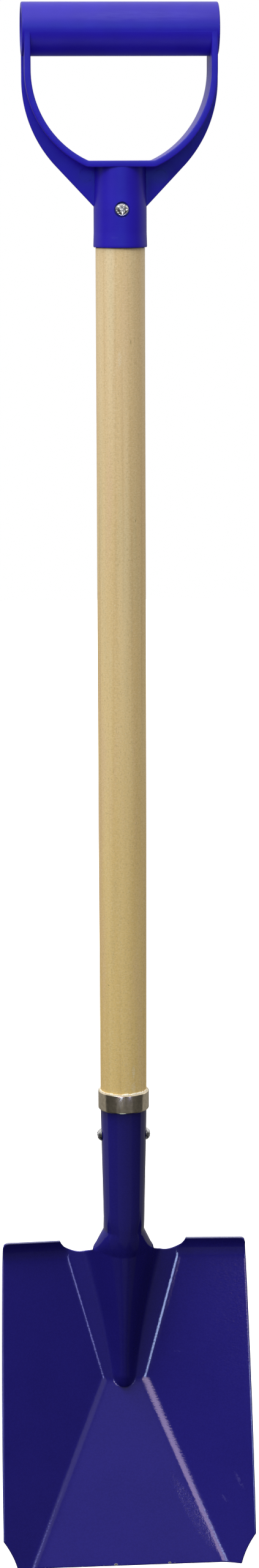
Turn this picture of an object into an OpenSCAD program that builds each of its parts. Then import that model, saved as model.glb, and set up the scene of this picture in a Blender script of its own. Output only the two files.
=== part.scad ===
// Child's sand shovel with a moulded D-handle, a turned wooden shaft and a pressed steel blade.
// The origin is the underside of the grip at its middle, where the shovel hangs.
// +Z runs up the shaft, the front of the blade faces -Y, and the part is symmetric about X = 0.

/* [Grip] */
// Diameter of the grip tube, and front-to-back width of the bow
grip_d = 26.6; // [24:0.1:30]
// Wall of the hollow grip tube
grip_wall = 3.3; // [2.4:0.1:5]
// Radius on the rim at each end of the grip
grip_edge_r = 0.7; // [0.3:0.1:1.2]

/* [Bow of the handle] */
// Width of the hand opening between the arms
hand_w = 90.2; // [84:0.1:94]
// Height of the hand opening, from the grip down to the flat of the bow
hand_h = 51.3; // [49:0.1:54]
// Straight length of each arm below the grip, inside
arm_len = 6.9; // [4:0.1:9]
// Width of the flat at the bottom of the hand opening
bow_flat_w = 31.1; // [24:0.1:38]
// Radius that blends the inside curve into the flat
bow_blend_r = 4; // [2:0.5:8]
// Thickness of the broad band of the bow
bow_t = 3.1; // [2.4:0.1:4]
// Thickness of the middle rib outside the band
rib_t = 3.5; // [2.5:0.1:5]
// How far the rib stands out past the arms
rib_step = 1.1; // [0.6:0.1:2]
// Straight length of the rib below the grip
rib_arm_len = 11.4; // [8:0.1:13]
// Radius of the outside curve of the rib
rib_r = 62; // [58:0.5:64]
// Angle of the rib's straight flank from the shaft
rib_angle = 43.5; // [40:0.5:46]

/* [Handle socket] */
// Wall of the socket round the shaft's tenon
handle_wall = 2.4; // [2:0.1:3.5]
// How far the bead at the rim stands out past the socket
handle_rim_step = 0.3; // [0.1:0.1:1.5]
// Height of the bead at the rim
handle_rim_h = 5; // [3:0.5:8]
// Length from the flat of the bow to the rim
handle_socket_len = 43; // [38:0.5:60]
// Thickness of the plastic between the tenon and the flat of the bow
handle_floor_t = 8; // [4:0.5:12]

/* [Shaft] */
// Diameter of the wooden shaft
shaft_d = 25; // [24:0.1:26]
// Visible length between the handle socket and the collar ring
shaft_len = 441; // [300:1:700]
// Length of the slight taper above the collar ring
shaft_taper_len = 140; // [80:1:200]
// How much the taper takes off the shaft's radius
shaft_taper = 0.3; // [0.1:0.1:0.6]
// Width of the shoulder round the tenon in the handle socket
tenon_shoulder = 1.6; // [1:0.1:3]
// Chamfer on both ends of the shaft
shaft_chamfer = 1; // [0.5:0.1:1.5]

/* [Collar ring] */
// Thickness of the collar ring
ring_t = 1; // [0.9:0.1:2]
// Height of the collar ring
ring_h = 10.3; // [8:0.1:14]
// Radius on its outer edges
ring_edge_r = 0.8; // [0.4:0.1:0.9]
// How far the ring stands above the mouth of the blade socket
ring_lap = 1.8; // [1:0.1:3]

/* [Blade socket] */
// Thickness of the steel sheet
sheet_t = 1.3; // [1:0.1:1.6]
// How far the mouth of the rolled socket stands out past the shaft
tube_step = 0.25; // [0.1:0.05:0.5]
// How much narrower the socket's radius is at its neck than at its mouth
neck_in = 1.5; // [0.5:0.1:2]
// Length of the closed tube, from its mouth to the start of the flare
tube_len = 69.2; // [60:0.1:80]
// Length of the flare, from the closed tube to the notches
flare_len = 20.1; // [16:0.1:26]
// Gap of the seam at the back of the tube
seam_gap = 0.8; // [0.4:0.1:1.5]

/* [Blade] */
// Width across the lower corners
blade_w = 134.8; // [124:0.5:146]
// How far each lower corner stands out past the end of its tread
side_flare = 2.4; // [0:0.1:6]
// Length below the notches, along the shaft
blade_len = 163.5; // [150:0.5:190]
// Length from the notches to the bend of the floor
bend_drop = 70.9; // [64:0.1:78]
// Width of the floor at its bend
bend_w = 19.8; // [18:0.1:26]
// How far the floor lies behind the shaft's axis at its bend
bend_back = 2; // [0:0.1:4]
// Pitch of the panel above the bend
upper_pitch = 7.6; // [5:0.1:9]
// Pitch of the floor below the bend
floor_pitch = 21.8; // [19:0.1:25]
// Pitch of the wings
wing_pitch = 13.3; // [12:0.1:15]
// Sideways rise of the wings
wing_rise = 20.2; // [17:0.1:24]
// Length of each lower corner's cut, along the shaft
corner_len = 16.5; // [10:0.5:20]
// Width of each lower corner's cut
corner_w = 7.7; // [5:0.1:10]
// Roundness of the creases near the notches
crease_soft = 0.7; // [0.4:0.1:1.2]
// Roundness of the creases beside the floor
floor_soft = 2.3; // [1.5:0.1:4]
// Length below the bend over which the creases grow round
soft_len = 5; // [3:0.5:20]
// Roundness of the bend between the panel and the floor
bend_soft = 0.9; // [0.4:0.1:2.6]

/* [Treads and notches] */
// Width of each notch beside the neck
notch_w = 18; // [16:0.1:20]
// Depth of each notch below the inner end of the tread
notch_h = 6.9; // [5:0.1:8]
// Distance from the shaft's axis to the middle of a notch
notch_x = 23.5; // [22.5:0.1:25]
// Rise of each tread towards its outer end
tread_rise = 3.1; // [1:0.1:4]
// Radius at the outer end of each tread
tread_corner_r = 3; // [2:0.1:5]
// Height of the lip along each tread
lip_h = 9; // [6:0.1:12]
// How far the lip leans forward
lip_lean = 3.8; // [2:0.1:5]

/* [Crown] */
// Half width of the crown beside the notches
crown_half_w = 19; // [17:0.1:21]
// Distance from the notches down to where the crown has that width
crown_drop = 9; // [4:0.5:16]
// Half width of the crown's nose
nose_half_w = 6.3; // [4:0.1:7]
// Height of the crown before its nose rounds off
nose_h = 4.2; // [3:0.1:6]
// How far the nose reaches past the bend of the floor
nose_reach = 5.5; // [3:0.1:8]

/* [Screws] */
// Diameter of the screw heads
screw_head_d = 6.7; // [6:0.1:7.2]
// Height of the handle screw's pan head
pan_h = 2; // [1.6:0.1:2.6]
// Height of the side screws' round heads
dome_h = 2.3; // [1.8:0.1:2.8]
// Diameter of the screw shanks
shank_d = 3.5; // [3:0.1:4]
// Length of the handle screw under its head
handle_screw_len = 15; // [12:0.5:18]
// Length of the side screws under their heads
side_screw_len = 8.5; // [6:0.1:9]
// Distance from the rim of the handle socket up to its screw
handle_screw_rise = 18.9; // [12:0.1:26]
// Distance from the mouth of the blade socket down to the side screws
side_screw_drop = 23.1; // [16:0.1:34]
// Gap between the handle screw's head and the recess round it
recess_gap = 0.6; // [0.3:0.1:1.2]
// Depth of that recess
recess_h = 1.4; // [1:0.1:1.6]
// Length of the cross slots in the heads
slot_len = 3.6; // [3:0.1:4]
// Width of the cross slots
slot_w = 0.9; // [0.6:0.1:1.2]
// Depth of the cross slots
slot_h = 1.1; // [0.7:0.1:1.4]

/* [Hidden] */
$fn = 96;
// Clearance between pieces that fit in each other
fit = 0.1;
// Overrun of a cut past the face that it opens
over = 1;

// Diameters that follow the shaft
shaft_foot_d = shaft_d - 2 * shaft_taper;
tenon_d = shaft_d - 2 * tenon_shoulder;
handle_socket_d = tenon_d + 2 * fit + 2 * handle_wall;
handle_rim_d = handle_socket_d + 2 * handle_rim_step;
tube_d = shaft_foot_d + 2 * tube_step;
neck_d = tube_d - 2 * neck_in;
ring_bore_d = tube_d + fit;
ring_d = ring_bore_d + 2 * ring_t;
recess_d = screw_head_d + 2 * recess_gap;

// Lengths and widths that follow other sizes
tenon_len = handle_socket_len - handle_floor_t;
tread_w = blade_w - 2 * side_flare;

// Heights of the handle's parts
grip_z = grip_d / 2;
bow_flat_z = -hand_h;
handle_rim_z = bow_flat_z - handle_socket_len;
handle_screw_z = handle_rim_z + handle_screw_rise;
grip_len = hand_w + 2 * bow_t + 2 * rib_step;
grip_bore_d = grip_d - 2 * grip_wall;

// Heights of the shaft's and the blade's parts
ring_top_z = handle_rim_z - shaft_len;
mouth_z = ring_top_z - ring_lap;
shaft_end_drop = tube_len - 2 * sheet_t;
side_screw_z = mouth_z - side_screw_drop;

// Where the flare meets the notch, as a share of the notch's half width, and the depth there
notch_edge_share = 0.767;
notch_edge_x = notch_x - notch_edge_share * notch_w / 2;
notch_edge_h = notch_h * ellipse(notch_edge_share);

// Distances below the mouth of the blade socket
notch_drop = tube_len + flare_len;
bend_at = notch_drop + bend_drop;
tip_at = notch_drop + blade_len;
tread_at = notch_drop - notch_edge_h;
nose_at = bend_at + nose_reach;
corner_at = tip_at - corner_len;

// Counts and shares of the sheet's grid
neck_cols = 12;
strip_cols = 5;
wing_shares = [0.035, 0.06, 0.09, 0.2, 0.34, 0.477, 0.65, 0.82, 0.93, 0.98, 1];
tube_rows = 5;
flare_rows = 9;
upper_row_shares = [0.02, 0.047, 0.08, 0.12, 0.18, 0.26, 0.35, 0.45, 0.55, 0.65, 0.74, 0.82, 0.89,
                    0.95, 1];
lower_row_shares = [0.04, 0.1, 0.2, 0.33, 0.47, 0.62, 0.77, 0.9, 1];
wing_col = neck_cols + strip_cols;
last_col = wing_col + len(wing_shares);
notch_row = tube_rows + flare_rows;
bend_row = notch_row + len(upper_row_shares);
last_row = bend_row + len(lower_row_shares);

function ellipse(x) = sqrt(max(0, 1 - x * x));
function mix(a, b, share) = a + (b - a) * share;
function clamp01(x) = min(1, max(0, x));
function smooth(x) = clamp01(x) * clamp01(x) * (3 - 2 * clamp01(x));
// The larger of two heights, rounded over the length soft where they cross
function soft_max(a, b, soft) = (a + b + sqrt((a - b) * (a - b) + soft * soft)) / 2;

// Surfaces of the pressed blade. A height is measured forward from the shaft's axis,
// at the distance x from the middle plane and the distance d below the socket's mouth.
function panel_height(d) = -bend_back + tan(upper_pitch) * (d - bend_at);
function floor_height(d) = -bend_back + tan(floor_pitch) * (d - bend_at);
function wing_height(x, d) =
    -bend_back + tan(wing_rise) * (x - bend_w / 2) + tan(wing_pitch) * (d - bend_at);
function tube_r(d) = mix(tube_d, neck_d, d / tube_len) / 2;

// The crown carries the front of the tube on into the blade and ends in a round nose
function crown_share(d) = clamp01((d - tube_len) / (nose_at - tube_len));
function crown_rise(d) =
    mix(tube_r(tube_len) - panel_height(tube_len), nose_h, crown_share(d))
    * sqrt(1 - pow(crown_share(d), 6));
function crown_half(d) =
    nose_half_w + (crown_half_w - nose_half_w)
    * pow(max(0, (nose_at - d) / (nose_at - notch_drop - crown_drop)), 1.4);
function crown_height(x, d) =
    crown_rise(d) * pow(max(0, 1 - pow(x / crown_half(d), 2)), 1.6);

// Forward lean of the lip along the tread
function lip_height(x, d) =
    lip_lean * pow(clamp01(1 - (d - tread_edge(x)) / lip_h), 2)
    * smooth((x - notch_x - notch_w / 4) / (notch_w / 4));

function crease_soft_at(d) =
    mix(crease_soft, floor_soft, smooth((d - bend_at) / soft_len));
function blade_height(x, d) =
    soft_max(soft_max(panel_height(d), floor_height(d), bend_soft),
             wing_height(x, d), crease_soft_at(d))
    + crown_height(x, d) + lip_height(x, d);

// Outline of the blade: the top edge with its notches and treads, the sides and the cutting edge
function tread_edge(x) =
    tread_at - tread_rise * clamp01((x - notch_x - notch_w / 2)
                                    / (tread_w / 2 - notch_x - notch_w / 2));
function top_edge(x) =
    x < notch_x + notch_w / 2
    ? tread_at + notch_h * ellipse((x - notch_x) / (notch_w / 2))
    : tread_edge(x) + tread_corner_r
      - tread_corner_r * ellipse((x - tread_w / 2 + tread_corner_r) / tread_corner_r
                                 * (x > tread_w / 2 - tread_corner_r ? 1 : 0));
function side_half(d) =
    mix(tread_w, blade_w, 1 - pow(1 - clamp01((d - tread_at) / (corner_at - tread_at)), 1.8)) / 2;
function low_edge(x) = tip_at - corner_len * max(0, x - blade_w / 2 + corner_w) / corner_w;

// Lines that the grid's columns follow: the crease beside the crown and floor, and the neck's edge
function crease_x(d) =
    bend_w / 2 + abs(d - bend_at)
    * (d < bend_at ? tan(wing_pitch) - tan(upper_pitch) : tan(floor_pitch) - tan(wing_pitch))
    / tan(wing_rise);
function neck_x(d) = crease_x(d) * notch_edge_x / crease_x(notch_drop);
function column_x(col, d) =
    col <= neck_cols ? neck_x(d) * sin(90 * col / neck_cols)
    : col <= wing_col ? mix(neck_x(d), crease_x(d), (col - neck_cols) / strip_cols)
    : mix(crease_x(d), side_half(d), wing_shares[col - wing_col - 1]);

// One point of the sheet's outer surface as [x, height, d]
function tube_point(col, d) =
    let (turn = (180 - asin(seam_gap / 2 / tube_r(d))) * col / neck_cols)
    [tube_r(d) * sin(turn), tube_r(d) * cos(turn), d];
function blade_point(col, d) = [column_x(col, d), blade_height(column_x(col, d), d), d];
function flare_point(col, share) =
    let (d = tube_len + flare_len * share)
    tube_point(col, d) * (1 - share) + blade_point(col, d) * share;
function upper_point(col, share) =
    blade_point(col, mix(col <= neck_cols ? notch_drop : top_edge(column_x(col, notch_drop)),
                         bend_at, share));
function lower_point(col, share) =
    blade_point(col, mix(bend_at, low_edge(column_x(col, tip_at)), share));
function half_point(row, col) =
    row <= tube_rows ? tube_point(col, tube_len * row / tube_rows)
    : row <= notch_row ? flare_point(col, (row - tube_rows) / flare_rows)
    : row <= bend_row ? upper_point(col, upper_row_shares[row - notch_row - 1])
    : lower_point(col, lower_row_shares[row - bend_row - 1]);
function notch_point(col) = upper_point(col, 0);
function outer_point(row, col) =
    let (p = row == notch_row ? notch_point(abs(col)) : half_point(row, abs(col)))
    [sign(col) * p[0], -p[1], mouth_z - p[2]];

function row_half(row) = row < notch_row ? neck_cols : last_col;
function index(row, col) =
    row < notch_row
    ? row * (2 * neck_cols + 1) + col + neck_cols
    : notch_row * (2 * neck_cols + 1) + (row - notch_row) * (2 * last_col + 1) + col + last_col;

// The sheet as one solid: its outer surface, the same surface moved in by the sheet's
// thickness along its normals, and a wall along its free edge
module sheet() {
    cells = [for (row = [0:last_row], col = [-row_half(row):row_half(row)]) [row, col]];
    outer = [for (cell = cells) outer_point(cell[0], cell[1])];
    count = len(outer);
    function across(row, col) =
        outer[index(row, min(col + 1, row_half(row)))]
        - outer[index(row, max(col - 1, -row_half(row)))];
    function down(row, col) =
        outer[index(min(row + 1, last_row), col)]
        - outer[index(row > 0 && abs(col) <= row_half(row - 1) ? row - 1 : row, col)];
    function normal(row, col) =
        let (n = cross(down(row, col), across(row, col))) n / norm(n);
    inner = [for (i = [0:count - 1]) outer[i] - sheet_t * normal(cells[i][0], cells[i][1])];
    quads = [for (row = [0:last_row - 1], col = [-row_half(row):row_half(row) - 1])
             [index(row, col), index(row, col + 1), index(row + 1, col + 1), index(row + 1, col)]];
    rim = concat(
        [for (col = [-neck_cols:neck_cols - 1]) index(0, col)],
        [for (row = [0:notch_row - 1]) index(row, neck_cols)],
        [for (col = [neck_cols:last_col - 1]) index(notch_row, col)],
        [for (row = [notch_row:last_row - 1]) index(row, last_col)],
        [for (col = [last_col:-1:1 - last_col]) index(last_row, col)],
        [for (row = [last_row:-1:notch_row + 1]) index(row, -last_col)],
        [for (col = [-last_col:-neck_cols - 1]) index(notch_row, col)],
        [for (row = [notch_row:-1:1]) index(row, -neck_cols)]);
    walls = [for (k = [0:len(rim) - 1])
             [rim[k], rim[(k + 1) % len(rim)], rim[(k + 1) % len(rim)] + count, rim[k] + count]];
    polyhedron(
        points = concat(outer, inner),
        faces = [for (q = quads, f = [[q[0], q[1], q[2]], [q[0], q[2], q[3]]]) f,
                 for (q = quads, f = [[q[2], q[1], q[0]], [q[3], q[2], q[0]]])
                 [f[0] + count, f[1] + count, f[2] + count],
                 for (w = walls, f = [[w[2], w[1], w[0]], [w[3], w[2], w[0]]]) f],
        convexity = 10);
}

// A cylinder from the front: its axis runs along -Y through [0, z]
module from_front(z, y0, length, r) {
    translate([0, y0, z])
        rotate([-90, 0, 0])
            cylinder(h = length, r = r);
}

// Turns what is drawn upright so that it points out of the shaft's side
module to_side(side) {
    translate([side * (tube_r(side_screw_drop) + fit / 2), 0, side_screw_z])
        rotate([0, side * 90, 0])
            children();
}

module cross_slots(top) {
    for (turn = [0, 90])
        rotate([0, 0, turn])
            translate([-slot_len / 2, -slot_w / 2, top - slot_h])
                cube([slot_len, slot_w, slot_h + over]);
}

// Plain shank with a pointed end, hanging under the head's seat at Z = 0
module shank(length) {
    translate([0, 0, -length])
        rotate_extrude()
            polygon([[0, 0], [shank_d / 2, shank_d / 2], [shank_d / 2, length], [0, length]]);
}

// Inside outline of the bow, grown by the wall that surrounds it. On each side an arc
// leaves the straight arm, and a smaller one rolls from it into the flat.
module bow_outline(grow) {
    half_w = hand_w / 2;
    blend_x = bow_flat_w / 2;
    blend_z = bow_flat_z + bow_blend_r;
    blend_drop = -arm_len - blend_z;
    bow_r = (pow(half_w - blend_x, 2) + pow(blend_drop, 2) - pow(bow_blend_r, 2))
            / (2 * (half_w - blend_x - bow_blend_r));
    meet_drop = (bow_r + grow) * blend_drop / (bow_r - bow_blend_r);
    translate([-half_w - grow, -arm_len])
        square([2 * (half_w + grow), arm_len + grip_z]);
    translate([-blend_x, bow_flat_z - grow])
        square([2 * blend_x, -bow_flat_z + grow]);
    for (side = [-1, 1]) {
        intersection() {
            translate([side * (half_w - bow_r), -arm_len])
                circle(r = bow_r + grow);
            translate([(side - 1) / 2 * (half_w + grow), -arm_len - meet_drop])
                square([half_w + grow, meet_drop]);
        }
        translate([side * blend_x, blend_z])
            circle(r = bow_blend_r + grow);
    }
}

// Outside outline of the rib: straight arms, an arc on each side and straight flanks
// that end in the wall of the socket
module rib_outline() {
    half = grip_len / 2;
    flank_x = half - rib_r * (1 - cos(rib_angle));
    flank_z = -rib_arm_len - rib_r * sin(rib_angle);
    wall_x = (tenon_d + handle_socket_d) / 4;
    wall_z = flank_z - (flank_x - wall_x) / tan(rib_angle);
    translate([-half, -rib_arm_len])
        square([grip_len, rib_arm_len + grip_z]);
    intersection() {
        translate([rib_r - half, -rib_arm_len])
            circle(r = rib_r);
        translate([half - rib_r, -rib_arm_len])
            circle(r = rib_r);
        translate([-half, flank_z])
            square([grip_len, -rib_arm_len - flank_z]);
    }
    polygon([[-flank_x, flank_z], [flank_x, flank_z], [wall_x, wall_z], [-wall_x, wall_z]]);
}

// Stands a flat outline up in the middle plane and gives it a thickness
module upright(thickness) {
    translate([0, thickness / 2, 0])
        rotate([90, 0, 0])
            linear_extrude(height = thickness)
                children();
}

module grip_tube() {
    translate([-grip_len / 2, 0, grip_z])
        rotate([0, 90, 0])
            rotate_extrude()
                polygon([[0, 0], [grip_d / 2 - grip_edge_r, 0], [grip_d / 2, grip_edge_r],
                         [grip_d / 2, grip_len - grip_edge_r],
                         [grip_d / 2 - grip_edge_r, grip_len], [0, grip_len]]);
}

module handle_socket() {
    translate([0, 0, handle_rim_z])
        rotate_extrude()
            polygon([[0, 0], [handle_rim_d / 2, 0], [handle_rim_d / 2, handle_rim_h / 2],
                     [handle_socket_d / 2, handle_rim_h],
                     [handle_socket_d / 2, handle_socket_len - bow_t / 2],
                     [0, handle_socket_len - bow_t / 2]]);
}

module d_handle() {
    color("mediumblue")
        difference() {
            union() {
                difference() {
                    union() {
                        upright(grip_d) bow_outline(bow_t);
                        upright(rib_t) rib_outline();
                    }
                    upright(grip_d + over) bow_outline(0);
                }
                grip_tube();
                handle_socket();
            }
            translate([-grip_len / 2 - over, 0, grip_z])
                rotate([0, 90, 0])
                    cylinder(h = grip_len + 2 * over, d = grip_bore_d);
            translate([0, 0, handle_rim_z - over])
                cylinder(h = tenon_len + fit + over, d = tenon_d + 2 * fit);
            from_front(handle_screw_z, -handle_rim_d, handle_rim_d, shank_d / 2 + fit);
            from_front(handle_screw_z, -handle_rim_d,
                       handle_rim_d - handle_socket_d / 2 + recess_h, recess_d / 2);
        }
}

module handle_screw() {
    color("silver")
        translate([0, recess_h - handle_socket_d / 2, handle_screw_z])
            rotate([90, 0, 0]) {
                shank(handle_screw_len);
                difference() {
                    rotate_extrude()
                        polygon([[0, 0], [screw_head_d / 2, 0], [screw_head_d / 2, pan_h / 3],
                                 [screw_head_d / 2 - pan_h / 6, 2 * pan_h / 3],
                                 [screw_head_d / 2 - pan_h / 2, pan_h], [0, pan_h]]);
                    cross_slots(pan_h);
                }
            }
}

// Turned shaft: a tenon under the handle, a long cylinder, a slight taper,
// and a cone that fits the rolled socket
module shaft() {
    mouth_r = tube_r(0) - sheet_t - fit;
    end_r = tube_r(shaft_end_drop) - sheet_t - fit;
    foot_z = mouth_z - shaft_end_drop;
    color("burlywood")
        difference() {
            rotate_extrude()
                polygon([[0, foot_z], [end_r - shaft_chamfer, foot_z],
                         [end_r, foot_z + shaft_chamfer], [mouth_r, mouth_z],
                         [shaft_foot_d / 2, mouth_z + fit + (shaft_foot_d / 2 - mouth_r)],
                         [shaft_foot_d / 2, ring_top_z],
                         [shaft_d / 2, ring_top_z + shaft_taper_len],
                         [shaft_d / 2, handle_rim_z - fit],
                         [tenon_d / 2, handle_rim_z - fit],
                         [tenon_d / 2, handle_rim_z + tenon_len - shaft_chamfer],
                         [tenon_d / 2 - shaft_chamfer, handle_rim_z + tenon_len],
                         [0, handle_rim_z + tenon_len]]);
            from_front(handle_screw_z, -handle_rim_d,
                       handle_rim_d - handle_socket_d / 2 + recess_h + handle_screw_len + fit,
                       shank_d / 2 + fit);
            for (side = [-1, 1])
                to_side(side)
                    translate([0, 0, -side_screw_len - fit])
                        cylinder(h = side_screw_len + over, d = shank_d + 2 * fit);
        }
}

module collar_ring() {
    color("lightslategray")
        translate([0, 0, ring_top_z - ring_h])
            rotate_extrude()
                polygon([[ring_bore_d / 2, 0], [ring_d / 2 - ring_edge_r, 0],
                         [ring_d / 2 - ring_edge_r / 3, ring_edge_r / 3],
                         [ring_d / 2, ring_edge_r],
                         [ring_d / 2, ring_h - ring_edge_r],
                         [ring_d / 2 - ring_edge_r / 3, ring_h - ring_edge_r / 3],
                         [ring_d / 2 - ring_edge_r, ring_h],
                         [ring_bore_d / 2, ring_h]]);
}

module blade() {
    color("midnightblue")
        difference() {
            sheet();
            for (side = [-1, 1])
                to_side(side)
                    translate([0, 0, -tube_d / 4])
                        cylinder(h = tube_d / 2, d = shank_d + 2 * fit);
        }
}

module socket_screw(side) {
    dome_r = (pow(screw_head_d / 2, 2) + pow(dome_h, 2)) / (2 * dome_h);
    color("silver")
        to_side(side) {
            shank(side_screw_len);
            difference() {
                intersection() {
                    translate([0, 0, dome_h - dome_r])
                        sphere(r = dome_r);
                    cylinder(h = dome_h, d = screw_head_d);
                }
                cross_slots(dome_h);
            }
        }
}

module socket_screw_left() {
    socket_screw(-1);
}

module socket_screw_right() {
    socket_screw(1);
}

d_handle();
handle_screw();
shaft();
collar_ring();
blade();
socket_screw_left();
socket_screw_right();
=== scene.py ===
"""Looks of a child's sand shovel: moulded D-handle, turned wooden shaft, pressed steel blade.

Shapes are worked out in millimetres in the shovel's own frame: the origin is the underside of
the grip at its middle, +Z runs up the shaft and the front of the blade faces -Y.
"""

import math
import random

import bmesh
import bpy
import numpy as np
from mathutils import Matrix, Vector


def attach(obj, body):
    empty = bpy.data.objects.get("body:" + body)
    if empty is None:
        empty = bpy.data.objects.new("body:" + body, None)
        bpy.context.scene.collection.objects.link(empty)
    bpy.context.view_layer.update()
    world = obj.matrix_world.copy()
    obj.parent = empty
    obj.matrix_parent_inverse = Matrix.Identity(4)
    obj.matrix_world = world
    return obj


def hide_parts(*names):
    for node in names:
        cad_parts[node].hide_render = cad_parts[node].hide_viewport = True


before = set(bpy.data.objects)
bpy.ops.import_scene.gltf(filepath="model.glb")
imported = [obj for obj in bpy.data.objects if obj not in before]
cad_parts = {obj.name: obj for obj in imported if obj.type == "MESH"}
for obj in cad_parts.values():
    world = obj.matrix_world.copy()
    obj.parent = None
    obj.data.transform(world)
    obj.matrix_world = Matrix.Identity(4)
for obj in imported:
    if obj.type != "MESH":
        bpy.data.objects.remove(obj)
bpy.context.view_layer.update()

MM = 0.001

# How far a cutter reaches past the surface that it cuts
OVERRUN = 1.0

# Grip and bow of the handle
GRIP_D = 26.6
GRIP_WALL = 3.3
GRIP_EDGE_R = 0.7
BORE_FLARE = 1.5
BORE_FLARE_DEPTH = 0.5
HAND_W = 90.2
HAND_H = 51.3
ARM_LEN = 6.9
BOW_FLAT_W = 31.1
BOW_BLEND_R = 4.0
BOW_T = 3.1
BOW_W = 26.44
BOW_EDGE_R = 0.55
RIB_T = 3.5
RIB_STEP = 1.1
RIB_ARM_LEN = 11.4
RIB_R = 62.0
RIB_ANGLE = math.radians(43.5)
RIB_EDGE_R = 0.5

# Handle socket
HANDLE_SOCKET_D = 26.8
HANDLE_RIM_D = 27.2
HANDLE_RIM_H = 5.0
HANDLE_RIM_EDGE_R = 0.5
HANDLE_RIM_TOP_R = 1.0
HANDLE_SOCKET_LEN = 43.0
SOCKET_BLEND_R = 8.0
SOCKET_DRAFT = 0.45
SOCKET_MOUTH_FLARE = 1.4
SOCKET_MOUTH_DEPTH = 0.4
TENON_D = 21.8
TENON_LEN = 35.0
TENON_GAP = 1.0
RECESS_D = 7.9
RECESS_H = 1.4
RECESS_BEVEL = 0.3
RECESS_FLARE = 0.6

# Round ejector marks on the front of the ribs: x, z
EJECTOR_MARKS = [(20.3, -59.2), (-17.0, -58.2)]
MARK_R = 3.2
MARK_LINE_W = 0.3
MARK_DEPTH = 0.12

# Shaft and collar ring
SHAFT_D = 25.0
SHAFT_LEN = 441.0
SHAFT_TAPER_LEN = 140.0
SHAFT_FOOT_D = 24.4
SHAFT_END_R = 0.8
SHOULDER_EDGE_R = 0.5
FOOT_EDGE_R = 0.3
RING_D = 27.0
RING_BORE_D = 25.0
RING_H = 10.3
RING_EDGE_R = 0.85
RING_BORE_EDGE_R = 0.1
RING_LAP = 1.8

# Wood fibres round the shaft above the ring
FRINGE_LAP = 0.25
FRINGE_LOW = 0.15
FRINGE_HIGH = 0.85
FRINGE_START = 0.35
FRINGE_JUMP = 0.25
FRINGE_IN = -0.15
FRINGE_OUT = 0.3
FRINGE_STEPS = 300
FRINGE_SEED = 7

# Blade
SHEET_T = 1.3
TUBE_D = 24.9
NECK_D = 21.9
TUBE_LEN = 69.2
FLARE_LEN = 20.1
FLARE_START_SHARE = 0.36
SEAM_GAP = 0.8
TREAD_W = 130.0
BLADE_W = 134.8
SIDE_BULGE = 1.8
BLADE_LEN = 163.5
BEND_DROP = 72.4
BEND_W = 21.9
BEND_BACK = 2.0
UPPER_SLOPE = math.tan(math.radians(7.6))
FLOOR_SLOPE = math.tan(math.radians(21.8))
WING_SLOPE = math.tan(math.radians(13.3))
WING_RISE = math.tan(math.radians(20.2))
CORNER_LEN = 16.5
CORNER_W = 7.7
NOTCH_W = 18.0
NOTCH_H = 6.9
NOTCH_X = 23.5
NOTCH_EDGE_SHARE = 0.767
TREAD_RISE = 3.1
TREAD_CORNER_R = 3.0
LIP_H = 11.0
LIP_LEAN = 3.8
CROWN_HALF_W = 19.0
CROWN_DROP = 9.0
CROWN_TAPER = 1.4
CROWN_FLANK = 1.6
NOSE_HALF_W = 6.3
NOSE_H = 3.0
NOSE_REACH = 3.9
NOSE_ROUND = 7.0
SHEET_EDGE_R = 0.45
SHEET_EDGE_FULLNESS = 0.6

# Rounding of the blade's creases above the bend and below it, of the bend itself, and the length
# over which the first passes into the second
CREASE_SOFT = 0.95
FLOOR_SOFT = 1.5
BEND_SOFT = 0.5
BEND_REACH = 4.0

# Screws, and the tapered slots of their cross recess, which start above the head
SCREW_HEAD_D = 6.7
PAN_H = 2.0
DOME_H = 2.3
SHANK_D = 3.5
SHANK_TIP_R = 0.3
HANDLE_SHANK_LEN = 14.8
SIDE_SHANK_LEN = 8.3
HANDLE_SCREW_RISE = 18.9
HANDLE_SCREW_TURN = 12
SIDE_SCREW_DROP = 23.1
SIDE_SCREW_TURN = 35
SLOT_TOP = (4.4, 1.3)
SLOT_BOTTOM = (1.4, 0.5)
SLOT_OVER = 0.3
SLOT_DEPTH = 1.9
FIT = 0.1

# Places that follow from the sizes
GRIP_Z = GRIP_D / 2
GRIP_LEN = HAND_W + 2 * BOW_T + 2 * RIB_STEP
FLAT_Z = -HAND_H
HANDLE_RIM_Z = FLAT_Z - HANDLE_SOCKET_LEN
HANDLE_SCREW_Z = HANDLE_RIM_Z + HANDLE_SCREW_RISE
RING_TOP_Z = HANDLE_RIM_Z - SHAFT_LEN
MOUTH_Z = RING_TOP_Z - RING_LAP
SIDE_SCREW_Z = MOUTH_Z - SIDE_SCREW_DROP
NOTCH_EDGE_X = NOTCH_X - NOTCH_EDGE_SHARE * NOTCH_W / 2
TREAD_START_X = NOTCH_X + NOTCH_W / 2
NOTCH_DROP = TUBE_LEN + FLARE_LEN
BEND_AT = NOTCH_DROP + BEND_DROP
TIP_AT = NOTCH_DROP + BLADE_LEN
TREAD_AT = NOTCH_DROP - NOTCH_H * math.sqrt(1 - NOTCH_EDGE_SHARE**2)
NOSE_AT = BEND_AT + NOSE_REACH
CORNER_AT = TIP_AT - CORNER_LEN

# Steps round a full turn, along a rounded corner and over a screw's dome
TURN_STEPS = 128
RING_STEPS = 160
BORE_STEPS = 96
SCREW_STEPS = 64
MARK_STEPS = 48
ARC_STEPS = 5
DOME_STEPS = 14

# Stations along the bow; the rib's flank has as many as the bow's blend and flat together
ARM_STEPS = 4
BOW_STEPS = 40
BLEND_STEPS = 8
FLAT_STEPS = 4
FLANK_STEPS = BLEND_STEPS + FLAT_STEPS
RIB_EDGE_STEPS = 4

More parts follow.
